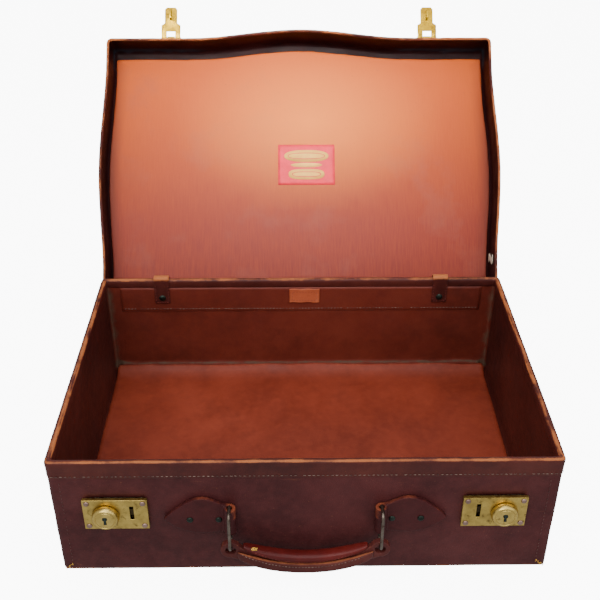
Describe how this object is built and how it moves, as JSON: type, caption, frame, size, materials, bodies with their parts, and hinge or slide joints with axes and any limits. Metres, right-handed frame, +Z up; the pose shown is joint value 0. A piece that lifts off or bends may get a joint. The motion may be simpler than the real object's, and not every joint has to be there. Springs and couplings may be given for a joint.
{
  "type": "leather carrying case",
  "caption": "Hinged leather carrying case with an open tray, a shallow lid on stay straps, spring locks with standing hasps, and a curved handle hung on metal rings.",
  "frame": {"origin": "middle of the underside of the base tray", "axes": "+X to the right seen from the handle side, -Y towards the handle side, +Z up; the lid is open and leans back over +Y"},
  "size_m": [0.543, 0.653, 0.4297],
  "materials": {
    "case_leather": "worn dark maroon-brown grained leather, satin",
    "edge_leather": "worn tan leather binding, satin",
    "case_board": "pressed fibreboard, matt",
    "lining_leather": "dark red-brown lining skin, satin",
    "floor_leather": "padded red-brown skin, satin",
    "lid_panel_leather": "glossy tan skin with fine grain",
    "label_cloth": "pink printed cloth",
    "cotton_tape": "cream cotton tape",
    "handle_red": "rolled and stitched red leather",
    "lock_brass": "tarnished olive brass, satin",
    "hasp_brass": "bright yellow brass, polished",
    "rivet_steel": "greyish pink steel, satin",
    "rivet_dark": "dark greenish japanned metal",
    "ring_steel": "grey-brown steel wire, worn"
  },
  "bodies": {
    "base": {"base_cover": "case_leather", "base_board": "case_board", "base_lining": "lining_leather", "base_floor_panel": "floor_leather", "base_rim_binding": "edge_leather", "back_hinge_facing": "lining_leather", "centre_tab": "edge_leather", "hinge_leather": "case_leather", "stay_strap_L": "edge_leather", "stay_strap_R": "edge_leather", "stay_strap_rivet_L": "rivet_dark", "stay_strap_rivet_R": "rivet_dark", "lock_plate_L": "lock_brass", "lock_plate_R": "lock_brass", "lock_backplate_L": "lock_brass", "lock_backplate_R": "lock_brass", "lock_rivet_L1": "rivet_steel", "lock_rivet_L2": "rivet_steel", "lock_rivet_L3": "rivet_steel", "lock_rivet_L4": "rivet_steel", "lock_rivet_R1": "rivet_steel", "lock_rivet_R2": "rivet_steel", "lock_rivet_R3": "rivet_steel", "lock_rivet_R4": "rivet_steel", "handle_mount_L": "case_leather", "handle_mount_R": "case_leather", "mount_rivet_L1": "rivet_dark", "mount_rivet_L2": "rivet_dark", "mount_rivet_R1": "rivet_dark", "mount_rivet_R2": "rivet_dark"},
    "lid": {"lid_cover": "case_leather", "lid_board": "case_board", "lid_lining_panel": "lid_panel_leather", "lid_label": "label_cloth", "lid_stay_stub": "cotton_tape", "hasp_leaf_L": "hasp_brass", "hasp_leaf_R": "hasp_brass", "hasp_pin_L": "hasp_brass", "hasp_pin_R": "hasp_brass", "hasp_rivet_L1": "hasp_brass", "hasp_rivet_L2": "hasp_brass", "hasp_rivet_R1": "hasp_brass", "hasp_rivet_R2": "hasp_brass"},
    "hasp_L": {"hasp_tongue_L": "hasp_brass"},
    "hasp_R": {"hasp_tongue_R": "hasp_brass"},
    "ring_L": {"ring_L": "ring_steel"},
    "ring_R": {"ring_R": "ring_steel"},
    "handle": {"handle_strap": "case_leather", "handle_pad": "handle_red", "handle_front": "case_leather", "handle_back": "handle_red"},
    "lock_slide_L": {"lock_knob_L": "hasp_brass", "lock_bolt_L": "hasp_brass"},
    "lock_slide_R": {"lock_knob_R": "hasp_brass", "lock_bolt_R": "hasp_brass"}
  },
  "joints": [
    {"name": "lid_hinge", "type": "hinge", "parent": "base", "child": "lid", "pos_m": [0, 0.1812, 0.111], "axis": [1, 0, 0], "range_deg": [0, 128.5], "deforming": ["stay_strap_L", "stay_strap_R", "hinge_leather"]},
    {"name": "hasp_L_hinge", "type": "hinge", "parent": "lid", "child": "hasp_L", "pos_m": [-0.1765, 0.41652, 0.39238], "axis": [1, 0, 0], "range_deg": [0, 90], "stiffness_Nm_per_rad": 0.02, "springref_deg": -34.38},
    {"name": "ring_L_hinge", "type": "hinge", "parent": "base", "child": "ring_L", "pos_m": [-0.077, -0.1819, 0.075], "axis": [0, 0, 1], "range_deg": [-6, 6]},
    {"name": "lock_L_slide", "type": "slide", "parent": "base", "child": "lock_slide_L", "axis": [-1, 0, 0], "range_m": [0, 0.007], "stiffness_N_per_m": 150, "springref_m": -0.003},
    {"name": "hasp_R_hinge", "type": "hinge", "parent": "lid", "child": "hasp_R", "pos_m": [0.1765, 0.41652, 0.39238], "axis": [1, 0, 0], "range_deg": [0, 90], "stiffness_Nm_per_rad": 0.02, "springref_deg": -34.38},
    {"name": "ring_R_hinge", "type": "hinge", "parent": "base", "child": "ring_R", "pos_m": [0.077, -0.1819, 0.075], "axis": [0, 0, 1], "range_deg": [-6, 6]},
    {"name": "lock_R_slide", "type": "slide", "parent": "base", "child": "lock_slide_R", "axis": [1, 0, 0], "range_m": [0, 0.007], "stiffness_N_per_m": 150, "springref_m": -0.003},
    {"name": "handle_hinge", "type": "hinge", "parent": "base", "child": "handle", "pos_m": [0, -0.1909, 0.059], "axis": [-1, 0, 0], "range_deg": [0, 95]}
  ]
}
